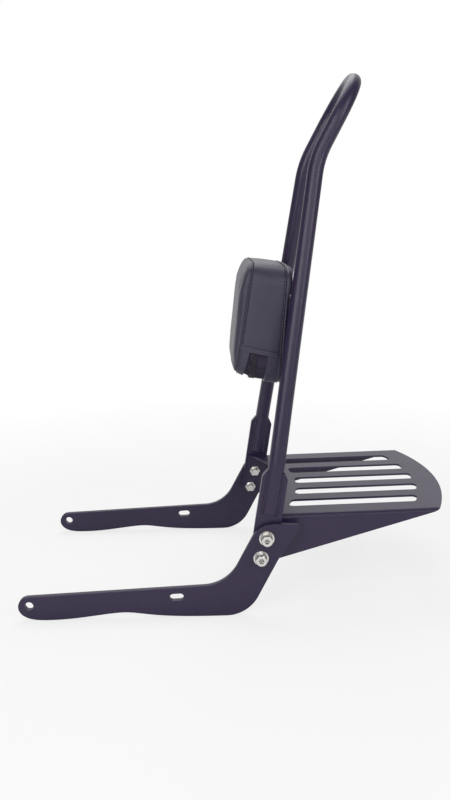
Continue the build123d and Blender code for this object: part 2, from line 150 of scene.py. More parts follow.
# %% A finish with a Principled shader
class Finish(Nodes):
    """A material with a Principled shader."""

    def __init__(self, name, **fixed):
        self.material = bpy.data.materials.new(name)
        self.material.use_nodes = True
        super().__init__(self.material.node_tree)
        self.tree.nodes.clear()
        self.shader = self.tree.nodes.new("ShaderNodeBsdfPrincipled")
        self.output = self.tree.nodes.new("ShaderNodeOutputMaterial")
        self.tree.links.new(self.shader.outputs[0], self.output.inputs["Surface"])
        for socket, value in fixed.items():
            self.feed(self.shader, socket.replace("_", " "), value)

    def place(self):
        """The point on the object, in metres."""
        return self.add("ShaderNodeTexCoord", {}, {}, "Object")

    def grain(self, scale, detail=2.0, where=None):
        """Soft noise with features about one over the scale across."""
        sockets = {"Vector": where or self.place(), "Scale": scale, "Detail": detail}
        return self.add("ShaderNodeTexNoise", {}, sockets, "Fac")

    def tint(self, mask, low, high):
        """A colour that runs from low to high as the mask runs from 0 to 1."""
        settings = {"data_type": "RGBA", "clamp_factor": True}
        return self.add("ShaderNodeMix", settings, {"Factor": mask, 6: (*low, 1), 7: (*high, 1)}, 2)

    def ramp(self, mask, low, high):
        """Stretches a mask so that low becomes 0 and high becomes 1."""
        return self.add("ShaderNodeMapRange", {}, {"Value": mask, "From Min": low, "From Max": high})

    def relief(self, height, depth):
        """Feeds a height, in shares of a depth in metres, to the shader's normal."""
        bump = self.add("ShaderNodeBump", {}, {"Height": height, "Strength": 1.0, "Distance": depth}, "Normal")
        self.feed(self.shader, "Normal", bump)

    def paint(self, socket, value):
        """Feeds one socket of the shader."""
        self.feed(self.shader, socket, value)


print("finish helpers ready")

# %% [markdown]
# The tube, plates and rack wear satin black powder coat. Powder is sprayed dry and melted, so it flows into a
# skin with a faint orange peel a millimetre or two across, and its gloss wanders a little. Flat black would
# look like a hole in the picture: here two noises shape the relief and the gloss, and the light does the rest.

# %% Powder coat
def powder_coat():
    coat = Finish("satin_powder", IOR=1.5)
    peel = coat.grain(620.0, 1.0)
    dust = coat.grain(5200.0, 2.0)
    drift = coat.grain(14.0, 3.0)
    coat.paint("Base Color", coat.tint(drift, (0.016, 0.0095, 0.036), (0.025, 0.0145, 0.048)))
    coat.paint("Roughness", 0.30 + 0.07 * drift + 0.06 * dust)
    coat.relief(peel + 0.16 * dust, 0.00013)
    return coat.material


powder = powder_coat()
print("made", powder.name)

# %% [markdown]
# The screws, washers and nuts are bright zinc plate over steel. Zinc is a metal, so its colour sits in the
# reflection. Handling leaves fine streaks and a patchy, slightly warm passivation. One noise gives the patches,
# and another, stretched by a Mapping node that squeezes one axis, gives the streaks. The knurls and the socket
# floors get a duller, darker zinc that is painted shade: dark on the knurls and lighter in the sockets.

# %% Zinc plate
def zinc_plate():
    plate = Finish("bright_zinc", Metallic=1.0)
    patches = plate.grain(90.0, 3.0)
    squeezed = plate.add("ShaderNodeMapping", {}, {"Vector": plate.place(), "Scale": (1.0, 0.08, 1.0)})
    streaks = plate.grain(2600.0, 2.0, squeezed)
    warmth = plate.ramp(patches, 0.35, 0.7)
    plate.paint("Base Color", plate.tint(warmth, (0.79, 0.79, 0.79), (0.88, 0.85, 0.80)))
    plate.paint("Roughness", 0.12 + 0.10 * patches + 0.10 * streaks)
    plate.relief(streaks, 0.00002)
    return plate.material


def shaded_zinc(name, low, high):
    """A duller zinc darkened with painted shade, for knurls and sockets."""
    worn = Finish(name, Metallic=1.0)
    mottling = worn.grain(700.0, 3.0)
    worn.paint("Base Color", worn.tint(mottling, low, high))
    worn.paint("Roughness", 0.34 + 0.2 * mottling)
    return worn.material


zinc = zinc_plate()
# Painted shade: a dark zinc for the knurls and a lighter one for the socket floors.
knurl_shade = shaded_zinc("knurl_painted_shade", (0.07, 0.068, 0.066), (0.20, 0.195, 0.185))
socket_shade = shaded_zinc("socket_painted_shade", (0.28, 0.275, 0.26), (0.48, 0.47, 0.45))
print("made", zinc.name, knurl_shade.name, "and", socket_shade.name)

# %% [markdown]
# The pad's cover is black vinyl, embossed in the factory with a leather grain. The grain is a net of soft
# cells about a millimetre across. A Voronoi texture gives the cells, and bending its coordinates with a little
# noise first keeps them from looking like a honeycomb. The creases between cells are duller than their tops.

# %% Vinyl with a leather grain
def vinyl_cover():
    skin = Finish("grained_vinyl", IOR=1.5, Sheen_Weight=0.06, Sheen_Roughness=0.35)
    place = skin.place()
    warp = skin.add("ShaderNodeTexNoise", {}, {"Vector": place, "Scale": 420.0, "Detail": 1.0}, "Color")
    nudge = {0: warp, 1: (0.0011,) * 3, 2: place}
    bent = skin.add("ShaderNodeVectorMath", {"operation": "MULTIPLY_ADD"}, nudge)
    cells = {"Vector": bent, "Scale": 780.0, "Randomness": 1.0}
    net = skin.add("ShaderNodeTexVoronoi", {"feature": "DISTANCE_TO_EDGE"}, cells, "Distance")
    tops = skin.ramp(net, 0.02, 0.30)
    drift = skin.grain(22.0, 3.0)
    skin.paint("Base Color", skin.tint(drift, (0.027, 0.023, 0.046), (0.038, 0.033, 0.061)))
    skin.paint("Roughness", 0.44 - 0.10 * tops + 0.08 * drift)
    skin.relief(tops, 0.00007)
    return skin.material


vinyl = vinyl_cover()
print("made", vinyl.name)

# %% [markdown]
# Small things have finishes of their own: woven tape, nylon teeth, polyester thread, painted slider, and the
# plywood and foam inside. The weave is two sets of fine waves at right angles, multiplied together. The rest
# need only one noise each, so one function makes them from two colours.

# %% Tape, nylon, thread, wood and foam
def zip_tape():
    woven = Finish("woven_tape", IOR=1.4)
    waves = {"Scale": 190.0, "Distortion": 0.6, "Detail": 1.0, "Vector": woven.place()}
    warp = woven.add("ShaderNodeTexWave", {"bands_direction": "Y"}, waves, "Fac")
    weft = woven.add("ShaderNodeTexWave", {"bands_direction": "Z"}, waves, "Fac")
    weave = warp * weft
    woven.paint("Base Color", woven.tint(weave, (0.019, 0.014, 0.028), (0.045, 0.036, 0.062)))
    woven.paint("Roughness", 0.95 - 0.15 * weave)
    woven.relief(weave, 0.00015)
    return woven.material


def plain_finish(name, low, high, scale, roughness, depth, index=1.5):
    """A finish whose colour and relief follow one noise."""
    made = Finish(name, IOR=index)
    speckle = made.grain(scale, 3.0)
    made.paint("Base Color", made.tint(speckle, low, high))
    made.paint("Roughness", roughness + 0.1 * speckle)
    made.relief(speckle, depth)
    return made.material


def plywood():
    ply = Finish("birch_ply")
    drawn = ply.add("ShaderNodeMapping", {}, {"Vector": ply.place(), "Scale": (1.0, 0.06, 1.0)})
    fibres = ply.grain(700.0, 4.0, drawn)
    ply.paint("Base Color", ply.tint(fibres, (0.42, 0.29, 0.17), (0.62, 0.47, 0.30)))
    ply.paint("Roughness", 0.6 + 0.2 * fibres)
    ply.relief(fibres, 0.0002)
    return ply.material


tape = zip_tape()
nylon = plain_finish("nylon_teeth", (0.016, 0.013, 0.022), (0.030, 0.025, 0.040), 900.0, 0.34, 0.00004)
# The thread is near black: partly its own dark colour and partly painted shade of the stitch holes.
thread = plain_finish("thread_with_hole_shade", (0.003, 0.003, 0.004), (0.007, 0.006, 0.009), 2400.0, 0.8, 0.00006, 1.2)
slider_paint = plain_finish("slider_enamel", (0.014, 0.013, 0.016), (0.026, 0.024, 0.030), 300.0, 0.3, 0.00003)
wood = plywood()
foam = plain_finish("soft_foam", (0.66, 0.60, 0.42), (0.84, 0.80, 0.64), 900.0, 0.85, 0.0004)
print("made", [m.name for m in (tape, nylon, thread, slider_paint, wood, foam)])

# %% [markdown]
# The rigid nodes keep their shapes. Each one has a single material slot, and assigning to it is all it needs.
# The soft nodes that the sewn pad replaces later need no finish here, apart from the foam and the slider.

# %% Dress the rigid nodes
COATED = ("left_side_plate", "right_side_plate", "left_tab", "right_tab", "hoop", "luggage_rack", "cross_plate")
PLATED = ("joint_screws", "joint_washers", "joint_nuts", "pad_screws", "pad_washers", "pad_tee_nuts")
dressed = {name: powder for name in COATED}
dressed |= {name: zinc for name in PLATED}
dressed |= {"pad_board": wood, "pad_foam": foam, "pad_zip_slider": slider_paint}
for name, finish in dressed.items():
    nodes[name].material_slots[0].material = finish
print("dressed", len(dressed), "nodes")

# %% [markdown]
# The pad is drawn in a frame of its own, where x runs to the left of the motorcycle, y up the leaning legs and
# z forward, and z is 0 on the front seam. Modelling a leaning thing upright and turning it at the end is easier
# than thinking in slanted numbers. The back leans less than the legs, so it is a tilted plane in this frame.

# %% The pad's own frame
LEG_LEAN = math.radians(9.05)
LEG_FOOT = Vector((278.7, 0, 100.0)) * MM
PAD_MIDDLE = 212.0 * MM
SEAM_FORWARD = 55.0 * MM
BACK_FORWARD = 6.9 * MM
BACK_TILT = math.radians(9.05 - 5.0)
leg_up = Vector((math.sin(LEG_LEAN), 0, math.cos(LEG_LEAN)))
forward = Vector((-math.cos(LEG_LEAN), 0, math.sin(LEG_LEAN)))


def leg_point(along, ahead_of_leg=0.0, sideways=0.0):
    """A point given in metres along the leaning legs, ahead of them, and sideways."""
    return LEG_FOOT + leg_up * along + forward * ahead_of_leg + Vector((0, sideways, 0))


pad_origin = leg_point(PAD_MIDDLE, SEAM_FORWARD)
pad_frame = Matrix((Vector((0, -1, 0)), leg_up, forward)).transposed().to_4x4()
pad_frame.translation = pad_origin
back_point = Vector((0, 0, BACK_FORWARD - SEAM_FORWARD))
back_normal = Vector((0, -math.sin(BACK_TILT), math.cos(BACK_TILT)))
print("pad origin in mm:", [round(1000 * c, 1) for c in pad_origin])

# %% [markdown]
# The cushion starts as a block: a cube, scaled, with its four long edges bevelled to round corners. The front
# is then extruded ring by ring up a quarter ellipse, so that it rolls over. The roll is tight at the sides and
# along the bottom and long at the top, because the pad's foam is shaved there. The bottom also rises towards
# the front. The block runs on past the back, so that the back can be cut clean later.

# %% The cushion's block
PAD_WIDTH = 156.0 * MM
PAD_HEIGHT = 139.0 * MM
PAD_CORNER = 20.0 * MM
CORNER_STEPS = 8
SEAM_AHEAD = 3.6 * MM
ROLL_DEPTH = 8.6 * MM
ROLL_STEPS = 6
SIDE_ROLL = 4.5 * MM
FRONT_LEAN = math.radians(2.2)
LEAN_ABOUT = 25.0 * MM
TOP_ROLL = 26.0 * MM
BOTTOM_ROLL = 10.0 * MM
BLOCK_DEPTH = 68.0 * MM
BOTTOM_RISE = 5.5 * MM
RISE_LENGTH = 24.0 * MM
RISE_STEPS = 4


def whole(mesh):
    """All parts of a mesh, as bisect_plane wants them."""
    return mesh.verts[:] + mesh.edges[:] + mesh.faces[:]


def smooth_step(value):
    """Eases from 0 to 1 while the value does."""
    share = min(1.0, max(0.0, value))
    return share * share * (3 - 2 * share)


def front_ring(turn):
    """Width, height, middle and forward place of the front's outline after a turn of its roll."""
    drawn = 1 - math.cos(turn)
    width = PAD_WIDTH - 2 * SIDE_ROLL * drawn
    height = PAD_HEIGHT - BOTTOM_RISE - (TOP_ROLL + BOTTOM_ROLL) * drawn
    middle = BOTTOM_RISE / 2 + (BOTTOM_ROLL - TOP_ROLL) / 2 * drawn
    return width, height, middle, SEAM_AHEAD + ROLL_DEPTH * math.sin(turn)


def cushion_block():
    """The pad's closed block, before it swells."""
    block = bmesh.new()
    bmesh.ops.create_cube(block, size=1.0)
    bmesh.ops.scale(block, vec=(PAD_WIDTH, PAD_HEIGHT, BLOCK_DEPTH), verts=block.verts)
    bmesh.ops.translate(block, vec=(0, 0, SEAM_AHEAD - BLOCK_DEPTH / 2), verts=block.verts)
    long_edges = [e for e in block.edges if abs(e.verts[0].co.z - e.verts[1].co.z) > BLOCK_DEPTH / 2]
    bmesh.ops.bevel(
        block, geom=long_edges, offset=PAD_CORNER, segments=CORNER_STEPS, profile=0.5, affect="EDGES", material=-1
    )
    for step in range(1, RISE_STEPS + 1):
        behind = (0, 0, SEAM_AHEAD - RISE_LENGTH * step / RISE_STEPS)
        bmesh.ops.bisect_plane(block, geom=whole(block), plane_co=behind, plane_no=(0, 0, 1))
    for vertex in block.verts:
        along = (vertex.co.z - SEAM_AHEAD) / RISE_LENGTH + 1
        below = -vertex.co.y / (PAD_HEIGHT / 2)
        vertex.co.y += BOTTOM_RISE * smooth_step(along) * smooth_step(below)
    front = max(block.faces, key=lambda face: face.calc_center_median().z)
    rings = [front_ring(math.radians(90 * step / ROLL_STEPS)) for step in range(ROLL_STEPS + 1)]
    for old, new in zip(rings, rings[1:]):
        front = bmesh.ops.extrude_discrete_faces(block, faces=[front])["faces"][0]
        smaller = (new[0] / old[0], new[1] / old[1], 1)
        about_middle = Matrix.Translation((0, -old[2], 0))
        bmesh.ops.scale(block, vec=smaller, space=about_middle, verts=front.verts)
        bmesh.ops.translate(block, vec=(0, new[2] - old[2], new[3] - old[3]), verts=front.verts)
        lean = Matrix.Rotation(FRONT_LEAN / ROLL_STEPS, 3, "X")
        bmesh.ops.rotate(block, cent=(0, LEAN_ABOUT, new[3]), matrix=lean, verts=front.verts)
    bmesh.ops.recalc_face_normals(block, faces=block.faces)
    return block


block = cushion_block()
print("block faces:", len(block.faces), "volume in cm3:", round(block.calc_volume() * 1e6))

# %% [markdown]
# A sewn cover bulges between its seams, so the block needs many points that can move. A voxel remesh turns it
# into an even net of squares. The boxing, which is the strip round the sides, is cut with some fullness. Its
# sides therefore get a crown, highest in the middle of each side.

# %% An even net with crowned sides
VOXEL = 3.0 * MM
SIDE_CROWN = 4.0 * MM
TOP_CROWN = 2.6 * MM
BOTTOM_CROWN = 0.6 * MM


def evaluated_mesh(holder):
    """A copy of an object's mesh with its modifiers applied."""
    return bpy.data.meshes.new_from_object(holder.evaluated_get(bpy.context.evaluated_depsgraph_get()))


def remeshed(block):
    """The block as an object with an even net of squares."""
    data = bpy.data.meshes.new("block")
    block.to_mesh(data)
    block.free()
    holder = bpy.data.objects.new("block", data)
    bpy.context.scene.collection.objects.link(holder)
    net = holder.modifiers.new("net", "REMESH")
    net.mode = "VOXEL"
    net.voxel_size = VOXEL
    holder.data = evaluated_mesh(holder)
    holder.modifiers.clear()
    return holder


def hump(place, half):
    """1 in the middle and 0 at both ends."""
    return max(0.0, 1 - (place / half) ** 2)


def crowned(data):
    """Moves the sides of the net outwards, most in the middle of each."""
    for vertex in data.vertices:
        place, out = vertex.co, vertex.normal
        along = hump(place.z - back_point.z / 2, -back_point.z / 2)
        upright = TOP_CROWN if out.y > 0 else BOTTOM_CROWN
        rise = SIDE_CROWN * out.x**2 * hump(place.y, PAD_HEIGHT / 2)
        rise += upright * out.y**2 * hump(place.x, PAD_WIDTH / 2)
        vertex.co = place + out * rise * along


holder = remeshed(block)
crowned(holder.data)
print("net faces:", len(holder.data.polygons))

# %% [markdown]
# Blender's cloth then does the bulging. The ring at the front seam and everything near the back are pinned, and
# pressure inside pushes the rest out. A soft cap keeps any point from moving far, less at the front, where the
# foam is firm.

# %% Swell the cushion
PRESSURE = 8.0
SWELL_CAP = 3.4 * MM
FRONT_CAP = 1.0 * MM
SWELL_FRAMES = 20
SEAM_HOLD = 1.8 * MM
BACK_HOLD = 5.0 * MM
SMOOTHING = 0.5


def above_back(point):
    """How far a point of the pad's frame is ahead of its back."""
    return (point - back_point).dot(back_normal)


def sewn_down(point):
    """Whether the cover is held at a point, by the front seam or by the board in its back."""
    return abs(point.z - SEAM_AHEAD) < SEAM_HOLD or above_back(point) < BACK_HOLD


def swollen(holder):
    """Runs the cloth and returns the swollen mesh."""
    still = [v.co.copy() for v in holder.data.vertices]
    held = [number for number, point in enumerate(still) if sewn_down(point)]
    holder.vertex_groups.new(name="sewn").add(held, 1.0, "REPLACE")
    cloth = holder.modifiers.new("cover", "CLOTH")
    cloth.settings.vertex_group_mass = "sewn"
    cloth.settings.use_pressure = True
    cloth.settings.uniform_pressure_force = PRESSURE
    cloth.settings.effector_weights.gravity = 0
    for moment in range(1, SWELL_FRAMES + 1):
        bpy.context.scene.frame_set(moment)
    grown = evaluated_mesh(holder)
    moves = [vertex.co - start for vertex, start in zip(grown.vertices, still)]
    print("longest move in mm before the cap:", round(1000 * max(move.length for move in moves), 1))
    for vertex, start, move in zip(grown.vertices, still, moves):
        cap = SWELL_CAP + (FRONT_CAP - SWELL_CAP) * smooth_step((start.z - SEAM_AHEAD) / ROLL_DEPTH)
        vertex.co = start + move.normalized() * cap * math.tanh(move.length / cap)
    return grown


cover = bmesh.new()
cover.from_mesh(swollen(holder))
bpy.data.objects.remove(holder)
bpy.context.scene.frame_set(1)
bmesh.ops.smooth_vert(
    cover, verts=cover.verts, factor=SMOOTHING, use_axis_x=True, use_axis_y=True, use_axis_z=True
)
print("cover faces:", len(cover.faces), "volume in cm3:", round(cover.calc_volume() * 1e6))

# %% [markdown]
# The back is a board under the cover, so it is flat and leans less than the front. A bisect plane cuts the
# swollen net there and a face closes it. Then loops are cut just ahead of the cut and drawn in along a small
# circle, which rolls the rear edge. A bevel would need wider faces than this fine net has. Above the cross plate
# nothing presses on the back, so the cover fills out a little there. Heights up the pad in FILL_LOOPS and
# distances from the back in REAR_LOOPS are in millimetres.

# %% Cut and roll the back
BACK_CLEARANCE = 0.15 * MM
REAR_ROLL = 3.2 * MM
REAR_LOOPS = (0.4, 0.9, 1.5, 2.2, 3.2)
BACK_FILL = 2.4 * MM
FILL_FROM = 34.0 * MM
FILL_OVER = 9.0 * MM
FILL_REACH = 12.0 * MM
FILL_LOOPS = (34, 36, 38, 40, 42, 44, 50, 57, 64)
LOOP_SNAP = 0.02 * MM


def cut_loops(mesh, point, normal, offsets):
    """Adds edge loops beside a plane, at offsets in millimetres."""
    for offset in offsets:
        bmesh.ops.bisect_plane(
            mesh, geom=whole(mesh), dist=LOOP_SNAP, plane_co=point + normal * offset * MM, plane_no=normal
        )


def close_back(mesh):
    """Cuts the net at the back, closes it, rolls its rear edge and fills it out above the cross plate."""
    cut = bmesh.ops.bisect_plane(
        mesh, geom=whole(mesh), plane_co=back_point + back_normal * BACK_CLEARANCE, plane_no=back_normal,
        clear_inner=True,
    )
    rim = [part for part in cut["geom_cut"] if isinstance(part, bmesh.types.BMEdge)]
    bmesh.ops.edgeloop_fill(mesh, edges=rim)
    bmesh.ops.recalc_face_normals(mesh, faces=mesh.faces)
    cut_loops(mesh, back_point, back_normal, REAR_LOOPS)
    mesh.normal_update()
    for vertex in mesh.verts:
        left = REAR_ROLL - above_back(vertex.co)
        if left > 0:
            outward = vertex.normal - back_normal * vertex.normal.dot(back_normal)
            vertex.co -= outward.normalized() * (REAR_ROLL - math.sqrt(REAR_ROLL**2 - left**2))
    cut_loops(mesh, Vector(), Vector((0, 1, 0)), FILL_LOOPS)
    for vertex in mesh.verts:
        above_plate = smooth_step((vertex.co.y - FILL_FROM) / FILL_OVER)
        near_back = smooth_step(1 - above_back(vertex.co) / FILL_REACH)
        vertex.co -= back_normal * BACK_FILL * (above_plate * near_back)


close_back(cover)
print("cover faces with its back:", len(cover.faces))

# %% [markdown]
# Where two panels are sewn, the thread pulls the vinyl into a valley. Beside the valley the folded edge stands
# up as a ridge, and the row of topstitches presses a second, shallower valley on its far side. Extra loops give
# these shapes clean edges, and points then move along their normals by bell curves of their distance from the
# seam. A little noise puckers both sides. All of these sizes are in millimetres.

# %% Seam valleys and ridges
SEAM_VALLEY = 1.1
VALLEY_WIDTH = 0.8
SEAM_RIDGE = 0.85
RIDGE_WIDTH = 0.7
STITCH_VALLEY = 0.2
STITCH_WIDTH = 0.7
STITCH_SET = 2.4
PUCKER = 0.25
PUCKER_REACH = 6.0
PUCKER_SCALE = 140
SEAM_LOOPS = (-4.2, -3.0, -2.4, -1.8, -1.2, -0.6, 0.0, 0.6, 1.6, 3.0)
REAR_SEAM = 4.6 * MM
ahead = Vector((0, 0, 1))
front_seam = (ahead * SEAM_AHEAD, ahead)
rear_seam = (back_point + back_normal * REAR_SEAM, -back_normal)


def bell(distance, width):
    """1 at no distance, and soon 0 beyond the width."""
    return math.exp(-((distance / width) ** 2))


def sew_seam(mesh, point, normal):
    """Shapes a seam; the normal points away from the topstitched side."""
    cut_loops(mesh, point, normal, SEAM_LOOPS)
    mesh.normal_update()
    for vertex in mesh.verts:
        away = (vertex.co - point).dot(normal) / MM
        rise = SEAM_RIDGE * bell(away + STITCH_SET / 2, RIDGE_WIDTH)
        rise -= SEAM_VALLEY * bell(away, VALLEY_WIDTH) + STITCH_VALLEY * bell(away + STITCH_SET, STITCH_WIDTH)
        rise += PUCKER * noise.noise(vertex.co * PUCKER_SCALE) * bell(away, PUCKER_REACH)
        vertex.co += vertex.normal * rise * MM


sew_seam(cover, *front_seam)
sew_seam(cover, *rear_seam)
print("cover faces with seams:", len(cover.faces))

# %% [markdown]
# Under the pad the cover opens for a zip. The tape lies a little below the flaps on either side, so the cover
# is sunk there first. Loops on both sides of the fold lines, at offsets in millimetres, keep the step crisp.

# %% Sink the zip's opening
HEM_EDGE = -35.6 * MM
HEM_TOP = -29.8 * MM
ZIP_FRONT = -8.2 * MM
ZIP_BACK = -31.0 * MM
CHAIN_LINE = -15.6 * MM
FOLD_LEAN = math.radians(6.0)
HEM_LEAN = math.radians(3.5)
ZIP_MIDDLE = (ZIP_FRONT + ZIP_BACK) / 2
ZIP_RECESS = 1.6 * MM
ZIP_EDGE = 0.8 * MM
FOLD_LOOPS = (-0.9, -0.1, 0.1, 0.9)
HEM_LOOPS = (-0.9, 0.0)
hem_up = Vector((0, math.cos(HEM_LEAN), -math.sin(HEM_LEAN)))
hem_low = Vector((0, HEM_EDGE, ZIP_MIDDLE))
hem_high = Vector((0, HEM_TOP, ZIP_MIDDLE))
fold_point = Vector((0, HEM_EDGE, ZIP_FRONT))
fold_normal = Vector((0, math.sin(FOLD_LEAN), math.cos(FOLD_LEAN)))


def sink_zip(mesh):
    """Sinks the cover between the two fold lines and below the hem."""
    cut_loops(mesh, fold_point, fold_normal, FOLD_LOOPS)
    cut_loops(mesh, ahead * ZIP_BACK, ahead, FOLD_LOOPS)
    cut_loops(mesh, hem_low, hem_up, HEM_LOOPS)
    mesh.normal_update()
    for vertex in mesh.verts:
        inside = min(
            (fold_point - vertex.co).dot(fold_normal), vertex.co.z - ZIP_BACK, (hem_low - vertex.co).dot(hem_up)
        )
        vertex.co -= vertex.normal * ZIP_RECESS * smooth_step(inside / ZIP_EDGE)


sink_zip(cover)
print("cover faces with the zip's opening:", len(cover.faces))

# %% [markdown]
# Most of the pad's other pieces lie on this cover, so they are made from it. A patch is a copy of the cover
# trimmed by planes and thickened outwards: that is how the hem and the zip's two flaps are made, and they
# follow every bulge by themselves. They thin out where a seam takes them in, which a vertex group tells the
# Solidify modifier. A Bevel modifier rolls their folded edges, which then catch the light. It stops at the
# smallest face, so slivers that the cuts leave are merged away first.

# %% Patches of the cover
HEM_THICKNESS = 2.1 * MM
HEM_ROUNDING = 0.8 * MM
HEM_OVERLAP = 0.3 * MM
FLAP_THICKNESS = 1.3 * MM
FLAP_ROUNDING = 0.6 * MM
TAPE_THICKNESS = 0.3 * MM
TAPE_ROUNDING = 0.1 * MM
ROUNDING_STEPS = 3
SLIVER = 0.25 * MM
SEAM_MARGIN = 0.8 * MM
SEWN_SHARE = 0.25
SEWN_REACH = 3.5 * MM
below_hem = (hem_low, -hem_up)
behind_front_seam = (ahead * (SEAM_AHEAD - SEAM_MARGIN), -ahead)
ahead_of_rear_seam = (back_point + back_normal * (REAR_SEAM + SEAM_MARGIN), back_normal)


def patch(name, keeps, thickness, finish, rounding):
    """A thickened piece of the cover; each keep is a point and a direction that stays."""
    mesh = cover.copy()
    for point, direction in keeps:
        bmesh.ops.bisect_plane(mesh, geom=whole(mesh), plane_co=point, plane_no=direction, clear_inner=True)
    bmesh.ops.remove_doubles(mesh, verts=mesh.verts, dist=SLIVER)
    bmesh.ops.dissolve_degenerate(mesh, edges=mesh.edges, dist=SLIVER / 5)
    seams = [seam for seam in keeps if seam in (behind_front_seam, ahead_of_rear_seam)]
    reach = [min((v.co - point).dot(direction) for point, direction in seams or keeps) for v in mesh.verts]
    bmesh.ops.transform(mesh, matrix=pad_frame, verts=mesh.verts)
    piece = finish_piece(name, mesh, finish)
    full = piece.vertex_groups.new(name="full")
    for number, away in enumerate(reach):
        full.add([number], smooth_step(away / SEWN_REACH) if seams else 1.0, "REPLACE")
    wall = piece.modifiers.new("wall", "SOLIDIFY")
    wall.vertex_group = "full"
    wall.thickness_vertex_group = SEWN_SHARE
    wall.thickness = thickness
    wall.offset = 1.0
    fold = piece.modifiers.new("fold", "BEVEL")
    fold.width = rounding
    fold.segments = ROUNDING_STEPS
    return piece


patch(
    "pad_hem",
    [(hem_low + hem_up * HEM_OVERLAP, hem_up), (hem_high, -hem_up), behind_front_seam, ahead_of_rear_seam],
    HEM_THICKNESS, vinyl, HEM_ROUNDING,
)
patch(
    "zip_front_flap",
    [below_hem, (fold_point, fold_normal), behind_front_seam],
    FLAP_THICKNESS, vinyl, FLAP_ROUNDING,
)
rear_flap = patch(
    "zip_rear_flap",
    [below_hem, (ahead * ZIP_BACK, -ahead), ahead_of_rear_seam],
    FLAP_THICKNESS, vinyl, FLAP_ROUNDING,
)
zip_band = patch(
    "zip_tape",
    [below_hem, (ahead * (ZIP_BACK + ZIP_EDGE), ahead), (fold_point - fold_normal * ZIP_EDGE, -fold_normal)],
    TAPE_THICKNESS, tape, TAPE_ROUNDING,
)

# %% [markdown]
# Stitches and zip teeth run along lines on the cover. A line is where a plane meets the cover: bisecting a copy
# gives the cut edges, walking from edge to edge puts them in order, and stepping along them at an even pitch
# gives a place, a direction and a normal for each small piece.

# %% Lines on the cover
LINE_SNAP = 0.01 * MM


def line_on_cover(point, normal):
    """The ordered ring where a plane meets the cover, as places and normals."""
    mesh = cover.copy()
    cut = bmesh.ops.bisect_plane(mesh, geom=whole(mesh), dist=LINE_SNAP, plane_co=point, plane_no=normal)
    mesh.normal_update()
    edges = {part for part in cut["geom_cut"] if isinstance(part, bmesh.types.BMEdge)}
    here = min((v for e in edges for v in e.verts), key=lambda v: v.co.y)
    ring = []
    while here:
        ring.append((here.co.copy(), here.normal.copy()))
        step = next((e for e in here.link_edges if e in edges), None)
        edges.discard(step)
        here = step.other_vert(here) if step else None
    mesh.free()
    return ring


def even_steps(ring, pitch):
    """Places, directions and normals at an even pitch along a ring."""
    steps = []
    spare = 0.0
    for (start, normal), (end, _) in zip(ring, ring[1:]):
        length = (end - start).length
        while spare < length:
            steps.append((start.lerp(end, spare / length), (end - start).normalized(), normal))
            spare += pitch
        spare -= length
    return steps


def set_on(place, direction, normal, size):
    """A matrix that sets a unit shape on the cover: long along the line, flat against the surface."""
    across = normal.cross(direction).normalized()
    turn = Matrix((direction, across, direction.cross(across))).transposed().to_4x4()
    return Matrix.Translation(place) @ turn @ Matrix.Diagonal((*size, 1))


print("points on the front seam:", len(line_on_cover(*front_seam)))

# %% [markdown]
# A lockstitch shows on top as a row of short thread dashes, each pulled into the vinyl at both ends. A small
# sphere drawn out along the line is enough at this size. The front and rear seams each have a row on the
# boxing's side. The hem and the flaps are glued down, so they show no thread.

# %% Stitches
STITCH_PITCH = 3.9 * MM
STITCH_SIZE = (1.25 * MM, 0.74 * MM, 0.5 * MM)
STITCH_LIFT = 0.1 * MM


def stitch_row(mesh, point, normal):
    """Adds a row of stitches where a plane meets the cover, above the hem."""
    for place, direction, outward in even_steps(line_on_cover(point, normal), STITCH_PITCH):
        if (place - hem_high).dot(hem_up) > 0:
            spot = set_on(place + outward * STITCH_LIFT, direction, outward, STITCH_SIZE)
            bmesh.ops.create_uvsphere(mesh, u_segments=8, v_segments=5, radius=1.0, matrix=spot)


rows = bmesh.new()
stitch_row(rows, front_seam[0] - ahead * STITCH_SET * MM, ahead)
stitch_row(rows, rear_seam[0] + back_normal * STITCH_SET * MM, back_normal)
bmesh.ops.transform(rows, matrix=pad_frame, verts=rows.verts)
# The stitches' near-black thread is partly painted shade of their holes.
finish_piece("pad_stitches", rows, thread)

# %% [markdown]
# The zip is moulded nylon: two rows of teeth that lock like a ladder down the middle of the tape. Each tooth is
# a bevelled block, and the rows take turns, half a pitch apart. The line runs round under the pad, from the
# hem on one side to the hem on the other.

# %% Zip teeth
TOOTH_PITCH = 2.1 * MM
TOOTH_SIZE = (1.0 * MM, 3.8 * MM, 1.6 * MM)
TOOTH_SPREAD = 1.5 * MM
TOOTH_LIFT = 0.9 * MM
TOOTH_ROUNDING = 0.22 * MM
CHAIN_END = 1.0 * MM


def zip_chain():
    """Both rows of teeth along the chain's line, below the hem."""
    chain = bmesh.new()
    steps = even_steps(line_on_cover(ahead * CHAIN_LINE, ahead), TOOTH_PITCH / 2)
    for number, (place, direction, outward) in enumerate(steps):
        if (hem_low - place).dot(hem_up) > CHAIN_END:
            side = TOOTH_SPREAD if number % 2 else -TOOTH_SPREAD
            spot = set_on(place + ahead * side + outward * TOOTH_LIFT, direction, outward, TOOTH_SIZE)
            bmesh.ops.create_cube(chain, size=1.0, matrix=spot)
    bmesh.ops.bevel(
        chain, geom=chain.edges[:], offset=TOOTH_ROUNDING, segments=1, profile=0.5, affect="EDGES", material=-1
    )
    bmesh.ops.transform(chain, matrix=pad_frame, verts=chain.verts)
    return chain


finish_piece("zip_teeth", zip_chain(), nylon)

# %% [markdown]
# The cover itself goes in last, because the patches and lines were read from it. It stands for the plain soft
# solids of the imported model, and a subdivision smooths it.

